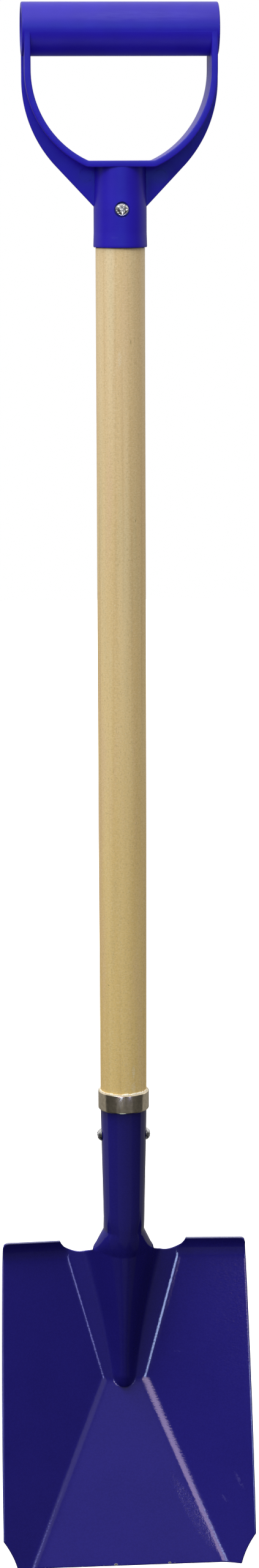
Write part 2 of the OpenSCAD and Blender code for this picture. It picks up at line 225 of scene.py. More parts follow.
# Columns on one side of the blade, its rows from the mouth down, and the steps round its edge
NECK_COLS = 26
STRIP_COLS = 14
WING_COLS = 40
COLUMN_BIAS = 1.5
WING_BIAS = 0.35
TUBE_ROWS = 14
FLARE_ROWS = 26
UPPER_ROWS = 56
UPPER_BIAS = 0.6
LOWER_ROWS = 52
LOWER_BIAS = 0.5
EDGE_STEPS = 6

# Extra rows, this far short of the end of the crown's nose
NOSE_ROWS = np.array([1.0, 0.6, 0.3, 0.12, 0.03, 0.0])

# The crown keeps at least this share of its width at its nose
LEAST_SHARE = 0.01


# Mesh building


def new_piece(name, points, faces):
    """Mesh object from points in millimetres."""
    mesh = bpy.data.meshes.new(name)
    mesh.from_pydata([tuple(c * MM for c in p) for p in points], [], faces)
    mesh.validate()
    piece = bpy.data.objects.new(name, mesh)
    bpy.context.scene.collection.objects.link(piece)
    return piece


def smooth(piece, angle=32.0):
    """Smooth shading that keeps edges sharper than the angle crisp."""
    for face in piece.data.polygons:
        face.use_smooth = True
    piece.data.set_sharp_from_angle(angle=math.radians(angle))
    return piece


def place(piece, matrix):
    """Moves the mesh itself, so that the object stays at the origin."""
    piece.data.transform(matrix)
    piece.data.update()
    return piece


def in_mm(x, y, z):
    return Matrix.Translation((x * MM, y * MM, z * MM))


def combine(piece, other, operation):
    """Joins another closed piece to this one, or cuts it out, and deletes the other."""
    modifier = piece.modifiers.new("combine", "BOOLEAN")
    modifier.operation = operation
    modifier.solver = "EXACT"
    modifier.object = other
    depsgraph = bpy.context.evaluated_depsgraph_get()
    mesh = bpy.data.meshes.new_from_object(piece.evaluated_get(depsgraph))
    piece.modifiers.clear()
    old = piece.data
    piece.data = mesh
    bpy.data.meshes.remove(old)
    bpy.data.objects.remove(other)
    return piece


def rounded(corners, steps=ARC_STEPS, closed=True):
    """Outline through (a, b, radius) corners, each turned into an arc of that radius."""
    outline = []
    for i, (a, b, radius) in enumerate(corners):
        if radius == 0 or (not closed and i in (0, len(corners) - 1)):
            outline.append((a, b))
            continue
        corner = Vector((a, b))
        back = (Vector(corners[i - 1][:2]) - corner).normalized()
        ahead = (Vector(corners[(i + 1) % len(corners)][:2]) - corner).normalized()
        half = back.angle(ahead) / 2
        centre = corner + (back + ahead).normalized() * (radius / math.sin(half))
        start = corner + back * (radius / math.tan(half)) - centre
        end = corner + ahead * (radius / math.tan(half)) - centre
        first = math.atan2(start.y, start.x)
        turn = math.remainder(math.atan2(end.y, end.x) - first, math.tau)
        for k in range(steps + 1):
            angle = first + turn * k / steps
            outline.append((centre.x + radius * math.cos(angle), centre.y + radius * math.sin(angle)))
    return outline


def turned(axis, degrees):
    """Turn of a piece about X, Y or Z; 90 about Y takes +Z to +X, and 90 about X takes it to -Y."""
    return Matrix.Rotation(math.radians(degrees), 4, axis)


def lathe(name, profile, steps):
    """Closed solid turned round Z from a closed (radius, z) profile; radius 0 makes a pole."""
    points, rows = [], []
    for radius, z in profile:
        if radius == 0:
            rows.append([len(points)] * steps)
            points.append((0, 0, z))
            continue
        rows.append([len(points) + k for k in range(steps)])
        for k in range(steps):
            angle = math.tau * k / steps
            points.append((radius * math.cos(angle), radius * math.sin(angle), z))
    faces = []
    for i, row in enumerate(rows):
        after = rows[(i + 1) % len(rows)]
        for k in range(steps):
            face = [row[k], row[(k + 1) % steps], after[(k + 1) % steps], after[k]]
            face = [v for n, v in enumerate(face) if v != face[n - 1]]
            if len(face) > 2:
                faces.append(face)
    return outward(new_piece(name, points, faces))


def loft(name, rings):
    """Closed solid through rings of points, with a flat cap at each end."""
    count = len(rings[0])
    points = [p for ring in rings for p in ring]
    faces = []
    for i in range(len(rings) - 1):
        here, there = i * count, (i + 1) * count
        for k in range(count):
            after = (k + 1) % count
            faces.append([here + k, here + after, there + after, there + k])
    faces.append(list(range(count))[::-1])
    last = (len(rings) - 1) * count
    faces.append([last + k for k in range(count)])
    return outward(new_piece(name, points, faces))


def outward(piece):
    """Turns the faces of a closed piece so that they look outwards."""
    work = bmesh.new()
    work.from_mesh(piece.data)
    bmesh.ops.recalc_face_normals(work, faces=work.faces)
    work.to_mesh(piece.data)
    work.free()
    return piece


# The D-handle


def arc_stations(x, z, radius, start, end, steps):
    """Stations (x, z, outward x, outward z) on an arc round (x, z), by the angle below +X."""
    stations = []
    for k in range(steps + 1):
        angle = start + (end - start) * k / steps
        out_x, out_z = math.cos(angle), -math.sin(angle)
        stations.append((x + radius * out_x, z + radius * out_z, out_x, out_z))
    return stations


def bow_half():
    """Stations (x, z, outward x, outward z) inside the bow, from the right arm to the middle."""
    half_w = HAND_W / 2
    blend_x = BOW_FLAT_W / 2
    drop = HAND_H - ARM_LEN - BOW_BLEND_R
    reach = half_w - blend_x
    bow_r = (reach**2 + drop**2 - BOW_BLEND_R**2) / (2 * (reach - BOW_BLEND_R))
    centre_x = half_w - bow_r
    meet = math.atan2(drop, blend_x - centre_x)
    stations = [(half_w, GRIP_Z - (GRIP_Z + ARM_LEN) * k / ARM_STEPS, 1, 0) for k in range(ARM_STEPS)]
    stations += arc_stations(centre_x, -ARM_LEN, bow_r, 0, meet, BOW_STEPS)
    blend_z = FLAT_Z + BOW_BLEND_R
    stations += arc_stations(blend_x, blend_z, BOW_BLEND_R, meet, math.pi / 2, BLEND_STEPS)[1:]
    for k in range(1, FLAT_STEPS + 1):
        stations.append((blend_x * (1 - k / FLAT_STEPS), FLAT_Z, 0, -1))
    return stations


def make_bow():
    """The broad band, swept from one arm round the flat to the other."""
    right = bow_half()
    stations = right + [(-x, z, -nx, nz) for x, z, nx, nz in right[-2::-1]]
    w = BOW_W / 2
    section = rounded([(0, -w, BOW_EDGE_R), (BOW_T, -w, BOW_EDGE_R), (BOW_T, w, BOW_EDGE_R),
                       (0, w, BOW_EDGE_R)], steps=4)
    return loft("bow", [[(x + nx * out, y, z + nz * out) for out, y in section]
                        for x, z, nx, nz in stations])


def rib_outline():
    """Stations (x, z, outward x, outward z) down the rib's outside, as many as the bow has."""
    half = GRIP_LEN / 2
    wall_x = (TENON_D + HANDLE_SOCKET_D) / 4
    flank_x = half - RIB_R * (1 - math.cos(RIB_ANGLE))
    flank_z = -RIB_ARM_LEN - RIB_R * math.sin(RIB_ANGLE)
    wall_z = flank_z - (flank_x - wall_x) / math.tan(RIB_ANGLE)
    outer = [(half, GRIP_Z - (GRIP_Z + RIB_ARM_LEN) * k / ARM_STEPS, 1, 0) for k in range(ARM_STEPS)]
    outer += arc_stations(half - RIB_R, -RIB_ARM_LEN, RIB_R, 0, RIB_ANGLE, BOW_STEPS)
    for k in range(1, FLANK_STEPS + 1):
        share = k / FLANK_STEPS
        outer.append((flank_x + (wall_x - flank_x) * share, flank_z + (wall_z - flank_z) * share,
                      math.cos(RIB_ANGLE), -math.sin(RIB_ANGLE)))
    return outer


def make_rib(side):
    """Middle rib on one side: a plate between the bow and the outside outline."""
    inner = [(x + nx * BOW_T / 2, z + nz * BOW_T / 2) for x, z, nx, nz in bow_half()]
    t, r = RIB_T / 2, RIB_EDGE_R
    rings = []
    for (x, z, nx, nz), (ix, iz) in zip(rib_outline(), inner):
        ring = [(ix, -t, iz)]
        for k in range(RIB_EDGE_STEPS + 1):
            angle = math.pi / 2 * k / RIB_EDGE_STEPS
            out = r * math.sin(angle) - r
            ring.append((x + nx * out, -t + r - r * math.cos(angle), z + nz * out))
        ring += [(px, -py, pz) for px, py, pz in ring[:0:-1]]
        ring.append((ix, t, iz))
        rings.append([(side * px, py, pz) for px, py, pz in ring])
    return loft("rib", rings)


def make_grip():
    end = GRIP_LEN / 2
    outline = rounded([(0, -end, 0), (GRIP_D / 2, -end, GRIP_EDGE_R), (GRIP_D / 2, end, GRIP_EDGE_R),
                       (0, end, 0)], closed=False)
    return place(lathe("d_handle_moulding", outline, TURN_STEPS), in_mm(0, 0, GRIP_Z) @ turned("Y", 90))


def make_handle_socket():
    """Round socket below the flat of the bow, with a low rim and a little draft."""
    rim_r, socket_r = HANDLE_RIM_D / 2, HANDLE_SOCKET_D / 2
    top = FLAT_Z - BOW_T / 2
    outline = rounded([(0, HANDLE_RIM_Z, 0), (rim_r, HANDLE_RIM_Z, HANDLE_RIM_EDGE_R),
                       (rim_r, HANDLE_RIM_Z + HANDLE_RIM_H / 4, HANDLE_RIM_TOP_R),
                       (socket_r, HANDLE_RIM_Z + HANDLE_RIM_H * 1.5, SOCKET_BLEND_R),
                       (socket_r, HANDLE_SCREW_Z, SOCKET_BLEND_R),
                       (socket_r - SOCKET_DRAFT, top, 0), (0, top, 0)], closed=False)
    return lathe("socket", outline, TURN_STEPS)


def cut_bores(handle):
    """Cuts the grip's through bore and the socket's blind one, each wider at its mouth."""
    r = GRIP_D / 2 - GRIP_WALL
    inside = GRIP_LEN / 2 - BORE_FLARE_DEPTH
    wide, out = r + BORE_FLARE, GRIP_LEN / 2 + OVERRUN
    bore = lathe("bore", [(0, -out), (wide, -out), (r, -inside), (r, inside), (wide, out), (0, out)],
                 BORE_STEPS)
    place(bore, in_mm(0, 0, GRIP_Z) @ turned("Y", 90))
    combine(handle, bore, "DIFFERENCE")
    r = TENON_D / 2 + FIT
    bore = lathe("bore", [(0, HANDLE_RIM_Z - OVERRUN), (r + SOCKET_MOUTH_FLARE, HANDLE_RIM_Z - OVERRUN),
                          (r, HANDLE_RIM_Z + SOCKET_MOUTH_DEPTH), (r, HANDLE_RIM_Z + TENON_LEN),
                          (0, HANDLE_RIM_Z + TENON_LEN)], BORE_STEPS)
    combine(handle, bore, "DIFFERENCE")


def cut_recess(handle):
    """Cuts the round recess for the screw's head, with a bevel at the socket's surface."""
    seat = HANDLE_SOCKET_D / 2 - RECESS_H
    r, top = RECESS_D / 2, seat + RECESS_H
    out = top + RECESS_FLARE
    recess = lathe("recess", [(0, seat), (r, seat), (r, top - RECESS_BEVEL), (r + RECESS_FLARE, out),
                              (0, out)], SCREW_STEPS)
    place(recess, in_mm(0, 0, HANDLE_SCREW_Z) @ turned("X", 90))
    combine(handle, recess, "DIFFERENCE")


def make_d_handle():
    handle = make_grip()
    combine(handle, make_bow(), "UNION")
    for side in (-1, 1):
        combine(handle, make_rib(side), "UNION")
    combine(handle, make_handle_socket(), "UNION")
    cut_bores(handle)
    cut_recess(handle)
    for x, z in EJECTOR_MARKS:
        line_r = MARK_R + MARK_LINE_W
        mark = lathe("mark", [(MARK_R, 0), (line_r, 0), (line_r, OVERRUN), (MARK_R, OVERRUN)], MARK_STEPS)
        place(mark, in_mm(x, MARK_DEPTH - RIB_T / 2, z) @ turned("X", 90))
        combine(handle, mark, "DIFFERENCE")
    return smooth(handle)


# The shaft and the collar ring


def make_shaft():
    """Turned shaft with a foot that tapers into the blade's socket and a tenon at its top."""
    foot_z = MOUTH_Z - TUBE_LEN + 2 * SHEET_T
    mouth_r = TUBE_D / 2 - SHEET_T - FIT
    end_r = NECK_D / 2 - SHEET_T - FIT
    foot_r = SHAFT_FOOT_D / 2
    shoulder_z = HANDLE_RIM_Z - FIT
    top_z = HANDLE_RIM_Z + TENON_LEN - TENON_GAP
    outline = rounded([(0, foot_z, 0), (end_r, foot_z, SHAFT_END_R), (mouth_r, MOUTH_Z, 0),
                       (foot_r, MOUTH_Z + FIT + foot_r - mouth_r, FOOT_EDGE_R), (foot_r, RING_TOP_Z, 0),
                       (SHAFT_D / 2, RING_TOP_Z + SHAFT_TAPER_LEN, 0),
                       (SHAFT_D / 2, shoulder_z, SHOULDER_EDGE_R), (TENON_D / 2, shoulder_z, 0),
                       (TENON_D / 2, top_z, SHAFT_END_R), (0, top_z, 0)], closed=False)
    return smooth(lathe("shaft_turned", outline, TURN_STEPS))


def make_ring():
    bottom = RING_TOP_Z - RING_H
    inner, outer = RING_BORE_D / 2, RING_D / 2
    outline = rounded([(inner, bottom, RING_BORE_EDGE_R), (outer, bottom, RING_EDGE_R),
                       (outer, RING_TOP_Z, RING_EDGE_R), (inner, RING_TOP_Z, RING_BORE_EDGE_R)], steps=6)
    return smooth(lathe("collar_ferrule", outline, RING_STEPS), angle=40)


def make_fringe():
    """Ragged edge of wood fibres that the collar ring has scraped up round the shaft."""
    dice = random.Random(FRINGE_SEED)
    inner = SHAFT_FOOT_D / 2 - FRINGE_LAP
    outer = RING_BORE_D / 2 + FRINGE_LAP
    height = FRINGE_START
    points, faces = [], []
    for k in range(FRINGE_STEPS):
        angle = math.tau * k / FRINGE_STEPS
        height = min(FRINGE_HIGH, max(FRINGE_LOW, height + dice.uniform(-FRINGE_JUMP, FRINGE_JUMP)))
        out = outer + dice.uniform(FRINGE_IN, FRINGE_OUT)
        section = [(inner, -0.4), (out, -0.25), (out + 0.05, 0.1), (inner + 0.35, height),
                   (inner, height * 0.9)]
        points += [(r * math.cos(angle), r * math.sin(angle), RING_TOP_Z + z) for r, z in section]
        count = len(section)
        here, there = k * count, (k + 1) % FRINGE_STEPS * count
        for n in range(count):
            m = (n + 1) % count
            faces.append([here + n, there + n, there + m, here + m])
    return smooth(outward(new_piece("wood_fringe", points, faces)), angle=60)


# The blade


def clamp01(x):
    return np.clip(x, 0.0, 1.0)


def ease(x):
    x = clamp01(x)
    return x * x * (3 - 2 * x)


def mix(a, b, share):
    return a + (b - a) * share


def quarter(x):
    """Height of a unit circle at x."""
    return np.sqrt(np.maximum(0.0, 1 - x * x))


def soft_max(a, b, soft):
    """The larger of two heights, rounded where they differ by less than soft."""
    return np.maximum(a, b) + np.maximum(0, soft - abs(a - b)) ** 2 / (4 * soft)


def tube_r(d):
    """Radius of the rolled socket at the depth d below its mouth."""
    return mix(TUBE_D, NECK_D, d / TUBE_LEN) / 2


def tread_edge(x):
    """Depth of the tread's edge, which rises a little from the notch to the side."""
    return TREAD_AT - TREAD_RISE * clamp01((x - TREAD_START_X) / (TREAD_W / 2 - TREAD_START_X))


def top_edge(x):
    start = TREAD_W / 2 - TREAD_CORNER_R
    corner = TREAD_CORNER_R * (1 - quarter(np.maximum(0, x - start) / TREAD_CORNER_R))
    notch = TREAD_AT + NOTCH_H * quarter(clamp01(abs(x - NOTCH_X) / (NOTCH_W / 2)))
    return np.where(x < TREAD_START_X, notch, tread_edge(x) + corner)


def low_edge(x):
    return TIP_AT - CORNER_LEN * np.maximum(0, x - BLADE_W / 2 + CORNER_W) / CORNER_W


def side_half(d):
    share = 1 - (1 - clamp01((d - TREAD_AT) / (CORNER_AT - TREAD_AT))) ** SIDE_BULGE
    return mix(TREAD_W, BLADE_W, share) / 2


def crease_x(d):
    """Where a wing meets the panel above the bend, and the floor below it."""
    slope = np.where(d < BEND_AT, WING_SLOPE - UPPER_SLOPE, FLOOR_SLOPE - WING_SLOPE)
    return BEND_W / 2 + abs(d - BEND_AT) * slope / WING_RISE


def neck_x(d):
    """Where the columns of the neck end, in line with the notch's inner edge."""
    return crease_x(d) * NOTCH_EDGE_X / crease_x(np.float64(NOTCH_DROP))


def crown_height(x, d):
    """The crown carries the front of the socket on into the blade and ends in a round nose."""
    share = clamp01((d - TUBE_LEN) / (NOSE_AT - TUBE_LEN))
    start = tube_r(TUBE_LEN) + BEND_BACK - UPPER_SLOPE * (TUBE_LEN - BEND_AT)
    end = quarter(clamp01(1 - (NOSE_AT - d) / NOSE_ROUND))
    rise = mix(start, NOSE_H, share) * end
    spread = np.maximum(0, (NOSE_AT - d) / (NOSE_AT - NOTCH_DROP - CROWN_DROP)) ** CROWN_TAPER
    half = mix(NOSE_HALF_W, CROWN_HALF_W, spread) * np.maximum(end, LEAST_SHARE)
    return rise * np.maximum(0, 1 - (x / half) ** 2) ** CROWN_FLANK


def lip_height(x, d):
    """The tread's lip leans forward near its edge."""
    lean = clamp01(1 - (d - tread_edge(x)) / LIP_H) ** 2
    return LIP_LEAN * lean * ease((x - NOTCH_X - NOTCH_W / 4) / (NOTCH_W / 4))


def blade_height(x, d):
    """Height of the pressed sheet forward of the shaft's axis."""
    panel = -BEND_BACK + UPPER_SLOPE * (d - BEND_AT)
    floor = -BEND_BACK + FLOOR_SLOPE * (d - BEND_AT)
    wing = -BEND_BACK + WING_RISE * (x - BEND_W / 2) + WING_SLOPE * (d - BEND_AT)
    soft = mix(CREASE_SOFT, FLOOR_SOFT, ease((d - BEND_AT) / BEND_REACH + 0.5))
    body = soft_max(soft_max(panel, floor, BEND_SOFT), wing, soft)
    return body + crown_height(x, d) + lip_height(x, d)


def both_ways(count, bias):
    """Shares from 0 to 1 that lie closer together towards both ends."""
    x = np.linspace(0, 1, count + 1)[1:]
    return mix(x, ease(x), bias)


def blade_columns(d):
    """Distances from the middle plane at the depth d of each column on one side."""
    neck = neck_x(d) * np.sin(np.pi / 2 * np.arange(NECK_COLS + 1) / NECK_COLS)
    strip = 1 - (1 - np.arange(1, STRIP_COLS + 1) / STRIP_COLS) ** COLUMN_BIAS
    strip = mix(neck_x(d), crease_x(d), strip)
    shares = (np.arange(1, WING_COLS + 1) / WING_COLS) ** COLUMN_BIAS
    shares = mix(shares, both_ways(WING_COLS, 1.0), WING_BIAS)
    wing = mix(crease_x(d), side_half(d), shares)
    return np.concatenate([neck, strip, wing])


def tube_row(d):
    """Half of the rolled socket's outline, from its front to the seam."""
    radius = tube_r(d)
    turn = (np.pi - np.arcsin(SEAM_GAP / 2 / radius)) * np.arange(NECK_COLS + 1) / NECK_COLS
    return np.stack([radius * np.sin(turn), radius * np.cos(turn), np.full_like(turn, d)], 1)


def blade_points(x, d):
    return np.stack([x, blade_height(x, d), d * np.ones_like(x)], 1)


def half_rows():
    """Rows of [x, height, depth] points of the outer surface on one side, from the mouth down."""
    rows = [tube_row(TUBE_LEN * k / TUBE_ROWS) for k in range(TUBE_ROWS + 1)]
    neck = slice(0, NECK_COLS + 1)
    for k in range(1, FLARE_ROWS):
        share = k / FLARE_ROWS
        d = mix(TUBE_LEN, NOTCH_DROP, share)
        target = blade_points(blade_columns(np.float64(d))[neck], np.float64(d))
        row = mix(tube_row(d), target, share)
        spread = clamp01((share - FLARE_START_SHARE) / (1 - FLARE_START_SHARE))
        row[:, 0] *= mix(NECK_D / 2, NOTCH_EDGE_X, spread) / row[:, 0].max()
        rows.append(row)
    columns = blade_columns(np.float64(NOTCH_DROP))
    start = top_edge(columns)
    start[neck] = NOTCH_DROP
    for share in np.concatenate([[0], both_ways(UPPER_ROWS, UPPER_BIAS)]):
        d = mix(start, BEND_AT, share)
        rows.append(blade_points(column_at(d), d))
    end = low_edge(blade_columns(np.float64(TIP_AT)))
    nose_shares = (NOSE_AT - NOSE_ROWS - BEND_AT) / (TIP_AT - BEND_AT)
    for share in np.sort(np.concatenate([both_ways(LOWER_ROWS, LOWER_BIAS), nose_shares])):
        d = mix(BEND_AT, end, share)
        rows.append(blade_points(column_at(d), d))
    return rows


def column_at(d):
    """Each column's distance from the middle plane at its own depth."""
    return np.array([blade_columns(depth)[k] for k, depth in enumerate(d)])


def whole_rows(rows):
    """The half rows with their mirror images, as points in the shovel's frame."""
    grid = []
    for row in rows:
        left = row[:0:-1] * np.array([-1, 1, 1])
        whole = np.concatenate([left, row])
        grid.append(np.stack([whole[:, 0], -whole[:, 1], MOUTH_Z - whole[:, 2]], 1))
    return grid


def sheet_normals(grid, half_cols):
    """Unit normals of the outer surface at all the points, row after row."""
    normals = []
    for r, row in enumerate(grid):
        above, below = max(r - 1, 0), min(r + 1, len(grid) - 1)
        down = np.empty_like(row)
        for c in range(len(row)):
            offset = c - half_cols[r]
            up_c = offset + half_cols[above]
            up_point = grid[above][up_c] if 0 <= up_c < len(grid[above]) else row[c]
            down[c] = grid[below][offset + half_cols[below]] - up_point
        n = np.cross(down, np.gradient(row, axis=0))
        normals.append(n / np.linalg.norm(n, axis=1)[:, None])
    return np.concatenate(normals)


def sheet_quads(index, half_cols):
    quads = []
    for r in range(len(index) - 1):
        upper, lower = index[r], index[r + 1]
        shift = half_cols[r + 1] - half_cols[r]
        for c in range(len(upper) - 1):
            quads.append([upper[c], upper[c + 1], lower[c + 1 + shift], lower[c + shift]])
    return quads


def edge_directions(edge, normals):
    """Unit directions out of the sheet along its free edge."""
    along = np.roll(edge, -1, 0) - np.roll(edge, 1, 0)
    out = np.cross(normals, along)
    out /= np.linalg.norm(out, axis=1)[:, None]
    return -out if out[0][2] < 0 else out


def make_blade():
    """The pressed sheet: its outer and inner surface, joined by a rounded edge."""
    grid = whole_rows(half_rows())
    counts = [len(row) for row in grid]
    index = [np.arange(n) + sum(counts[:r]) for r, n in enumerate(counts)]
    half_cols = [(n - 1) // 2 for n in counts]
    surface = np.concatenate(grid)
    normal = sheet_normals(grid, half_cols)
    rim = free_edge(index, half_cols, TUBE_ROWS + FLARE_ROWS)
    out = edge_directions(surface[rim], normal[rim])
    surface[rim] -= out * SHEET_EDGE_R
    inner = surface - normal * SHEET_T
    total = len(surface)
    points = list(surface) + list(inner)
    edge_rows = [rim]
    for k in range(1, EDGE_STEPS):
        angle = math.pi * k / EDGE_STEPS
        bulge = surface[rim] - normal[rim] * (SHEET_T / 2 * (1 - math.cos(angle)))
        bulge = bulge + out * (SHEET_EDGE_R * math.sin(angle) ** SHEET_EDGE_FULLNESS)
        edge_rows.append([len(points) + i for i in range(len(rim))])
        points += list(bulge)
    edge_rows.append([i + total for i in rim])
    quads = sheet_quads(index, half_cols)
    faces = quads + [[i + total for i in q[::-1]] for q in quads]
    for upper, lower in zip(edge_rows, edge_rows[1:]):
        for i in range(len(rim)):
            j = (i + 1) % len(rim)
            faces.append([upper[j], upper[i], lower[i], lower[j]])
    blade = new_piece("blade_pressed", points, [[int(v) for v in f] for f in faces])
    return smooth(outward(blade), angle=50)


def free_edge(index, half_cols, first_full):
    """Indices round the sheet's free edge, clockwise from the mouth's left end of the seam."""
    last = len(index) - 1
    rim = list(index[0][:-1])
    rim += [index[r][-1] for r in range(first_full)]
    top = index[first_full]
    middle = half_cols[first_full]
    neck = half_cols[0]
    rim += list(top[middle + neck:-1])
    rim += [index[r][-1] for r in range(first_full, last)]
    rim += list(index[last][:0:-1])
    rim += [index[r][0] for r in range(last, first_full, -1)]
    rim += list(top[:middle - neck])
    rim += [index[r][0] if r < first_full else top[middle - neck] for r in range(first_full, 0, -1)]
    return [int(i) for i in rim]


# The screws


def frustum(name, top, bottom, height, depth):
    """Block that narrows from its top, at the given height, down to its bottom."""
    points = [(sx * x / 2, sy * y / 2, z) for (x, y), z in ((top, height), (bottom, height - depth))
              for sx, sy in ((-1, -1), (1, -1), (1, 1), (-1, 1))]
    faces = [[0, 1, 2, 3], [7, 6, 5, 4]] + [[k, (k + 1) % 4, (k + 1) % 4 + 4, k + 4] for k in range(4)]
    return outward(new_piece(name, points, faces))


def cut_cross(head, top):
    """Cross recess whose slots narrow towards the bottom."""
    for turn in (0, 90):
        slot = frustum("slot", SLOT_TOP, SLOT_BOTTOM, top + SLOT_OVER, SLOT_DEPTH)
        place(slot, turned("Z", turn))
        combine(head, slot, "DIFFERENCE")
    return head


def make_screw(name, head_profile, top, shank_len):
    """Screw along Z with its head's seat at Z = 0."""
    r = SHANK_D / 2
    profile = [(0, -shank_len, 0), (r, -shank_len + r, SHANK_TIP_R), (r, 0, 0)] + head_profile
    screw = lathe(name, rounded(profile, closed=False), SCREW_STEPS)
    return smooth(cut_cross(screw, top), angle=35)


def make_handle_screw():
    """Pan head screw; a rounded shoulder and a shallow groove run round the head's crowned top."""
    half = SCREW_HEAD_D / 2
    head = [(half - 0.1, 0, 0.1), (half, 0.9, 0.2), (half - 0.55, 1.5, 0.15), (half - 0.75, 1.4, 0.08),
            (half - 1.0, PAN_H * 0.86, 0.5), (half * 0.4, PAN_H, 2.5), (0, PAN_H, 0)]
    screw = make_screw("handle_screw_pan", head, PAN_H, HANDLE_SHANK_LEN)
    place(screw, turned("Z", HANDLE_SCREW_TURN))
    return place(screw, in_mm(0, RECESS_H - HANDLE_SOCKET_D / 2, HANDLE_SCREW_Z) @ turned("X", 90))


def make_side_screw(side):
    """Round head screw in the blade's socket; side is -1 for the left one and 1 for the right one."""
    half = SCREW_HEAD_D / 2
    dome_r = (half**2 + DOME_H**2) / (2 * DOME_H)
    span = math.asin(half / dome_r)
    angles = [span * (1 - k / DOME_STEPS) for k in range(DOME_STEPS + 1)]
    dome = [(dome_r * math.sin(a), DOME_H - dome_r + dome_r * math.cos(a), 0) for a in angles]
    label = "left" if side < 0 else "right"
    screw = make_screw("socket_screw_" + label + "_dome", dome, DOME_H, SIDE_SHANK_LEN)
    place(screw, turned("Z", SIDE_SCREW_TURN * side))
    x = side * (tube_r(SIDE_SCREW_DROP) + FIT / 2)
    return place(screw, in_mm(x, 0, SIDE_SCREW_Z) @ turned("Y", 90 * side))


# Materials


class Nodes:
    """Short calls that build a node tree."""

    def __init__(self, tree):
        self.tree = tree
        tree.nodes.clear()
        self.coords = self.new("TexCoord").outputs["Object"]

    def new(self, kind):
        return self.tree.nodes.new("ShaderNode" + kind)

    def link(self, source, socket):
        self.tree.links.new(source, socket)

    def feed(self, socket, value):
        """Links a node's output to a socket, or sets a plain value on it."""
        if isinstance(value, bpy.types.NodeSocket):
            self.link(value, socket)
        else:
            socket.default_value = value

    def stretched(self, x, y, z):
        """Object coordinates, multiplied by the number of cells per millimetre along each axis."""
        node = self.new("Mapping")
        self.link(self.coords, node.inputs["Vector"])
        node.inputs["Scale"].default_value = (x / MM, y / MM, z / MM)
        return node.outputs[0]

    def noise(self, vector, detail=2.0, roughness=0.5, distortion=0.0):
        node = self.new("TexNoise")
        self.link(vector, node.inputs["Vector"])
        settings = {"Scale": 1.0, "Detail": detail, "Roughness": roughness, "Distortion": distortion}
        for name, setting in settings.items():
            node.inputs[name].default_value = setting
        return node.outputs[0]

    def cells(self, per_mm, detail=2.0, roughness=0.5):
        """Noise with the same number of cells per millimetre in all directions."""
        return self.noise(self.stretched(per_mm, per_mm, per_mm), detail, roughness)

    def ramp(self, value, low, high, start=0.0, end=1.0):
        """Maps value from low..high to start..end, held at both ends."""
        node = self.new("MapRange")
        node.interpolation_type = "SMOOTHSTEP"
        self.feed(node.inputs["Value"], value)
        settings = {"From Min": low, "From Max": high, "To Min": start, "To Max": end}
        for name, setting in settings.items():
            node.inputs[name].default_value = setting
        return node.outputs["Result"]

    def math(self, operation, a, b=0.0):
        node = self.new("Math")
        node.operation = operation
        self.feed(node.inputs[0], a)
        self.feed(node.inputs[1], b)
        return node.outputs[0]

    def times(self, a, b):
        return self.math("MULTIPLY", a, b)

    def blend(self, share, a, b):
        """Colour between a and b; each is a node's output or (red, green, blue)."""
        node = self.new("Mix")
        node.data_type = "RGBA"
        self.feed(node.inputs["Factor"], share)
        colour_inputs = [s for s in node.inputs if s.type == "RGBA"]
        for socket, colour in zip(colour_inputs, (a, b)):
            self.feed(socket, colour if isinstance(colour, bpy.types.NodeSocket) else (*colour, 1.0))
        return [s for s in node.outputs if s.type == "RGBA"][0]

    def axis(self, name):
        """One object coordinate, in millimetres."""
        node = self.new("SeparateXYZ")
        self.link(self.stretched(1, 1, 1), node.inputs[0])
        return node.outputs[name]

    def marks(self, places):
        """1 inside soft-edged ellipses: x, z, half width, half height and how far the ellipse
        shifts sideways for each mm it goes down. They lie where the piece is in front of the
        shaft's axis, so that on the blade's lower part they are on its back too."""
        total = 0.0
        for x, z, half_w, half_h, lean in places:
            up = self.math("SUBTRACT", self.axis("Z"), z)
            shift = self.times(up, lean)
            across = self.math("ADD", self.math("SUBTRACT", self.axis("X"), x), shift)
            across, up = self.math("DIVIDE", across, half_w), self.math("DIVIDE", up, half_h)
            across, up = self.times(across, across), self.times(up, up)
            inside = self.ramp(self.math("ADD", across, up), 0.3, 1.2, 1.0, 0.0)
            total = self.math("MAXIMUM", inside, total)
        return self.times(total, self.ramp(self.axis("Y"), -1.0, 1.0, 1.0, 0.0))

    def bump(self, height, distance_mm, strength=1.0, below=None):
        node = self.new("Bump")
        node.inputs["Strength"].default_value = strength
        node.inputs["Distance"].default_value = distance_mm * MM
        self.link(height, node.inputs["Height"])
        if below is not None:
            self.link(below, node.inputs["Normal"])
        return node.outputs["Normal"]


class Shader(Nodes):
    """Node tree of one material round a principled surface."""

    def __init__(self, name):
        self.material = bpy.data.materials.new(name)
        self.material.use_nodes = True
        super().__init__(self.material.node_tree)
        self.surface = self.new("BsdfPrincipled")
        output = self.new("OutputMaterial")
        self.link(self.surface.outputs[0], output.inputs["Surface"])

    def set(self, **values):
        """Sets or links sockets of the surface, such as base_color or roughness."""
        names = {"base_color": "Base Color", "roughness": "Roughness", "metallic": "Metallic",
                 "normal": "Normal", "ior": "IOR",
                 "emission": "Emission Color", "emission_strength": "Emission Strength"}
        for key, value in values.items():
            self.feed(self.surface.inputs[names[key]], value)


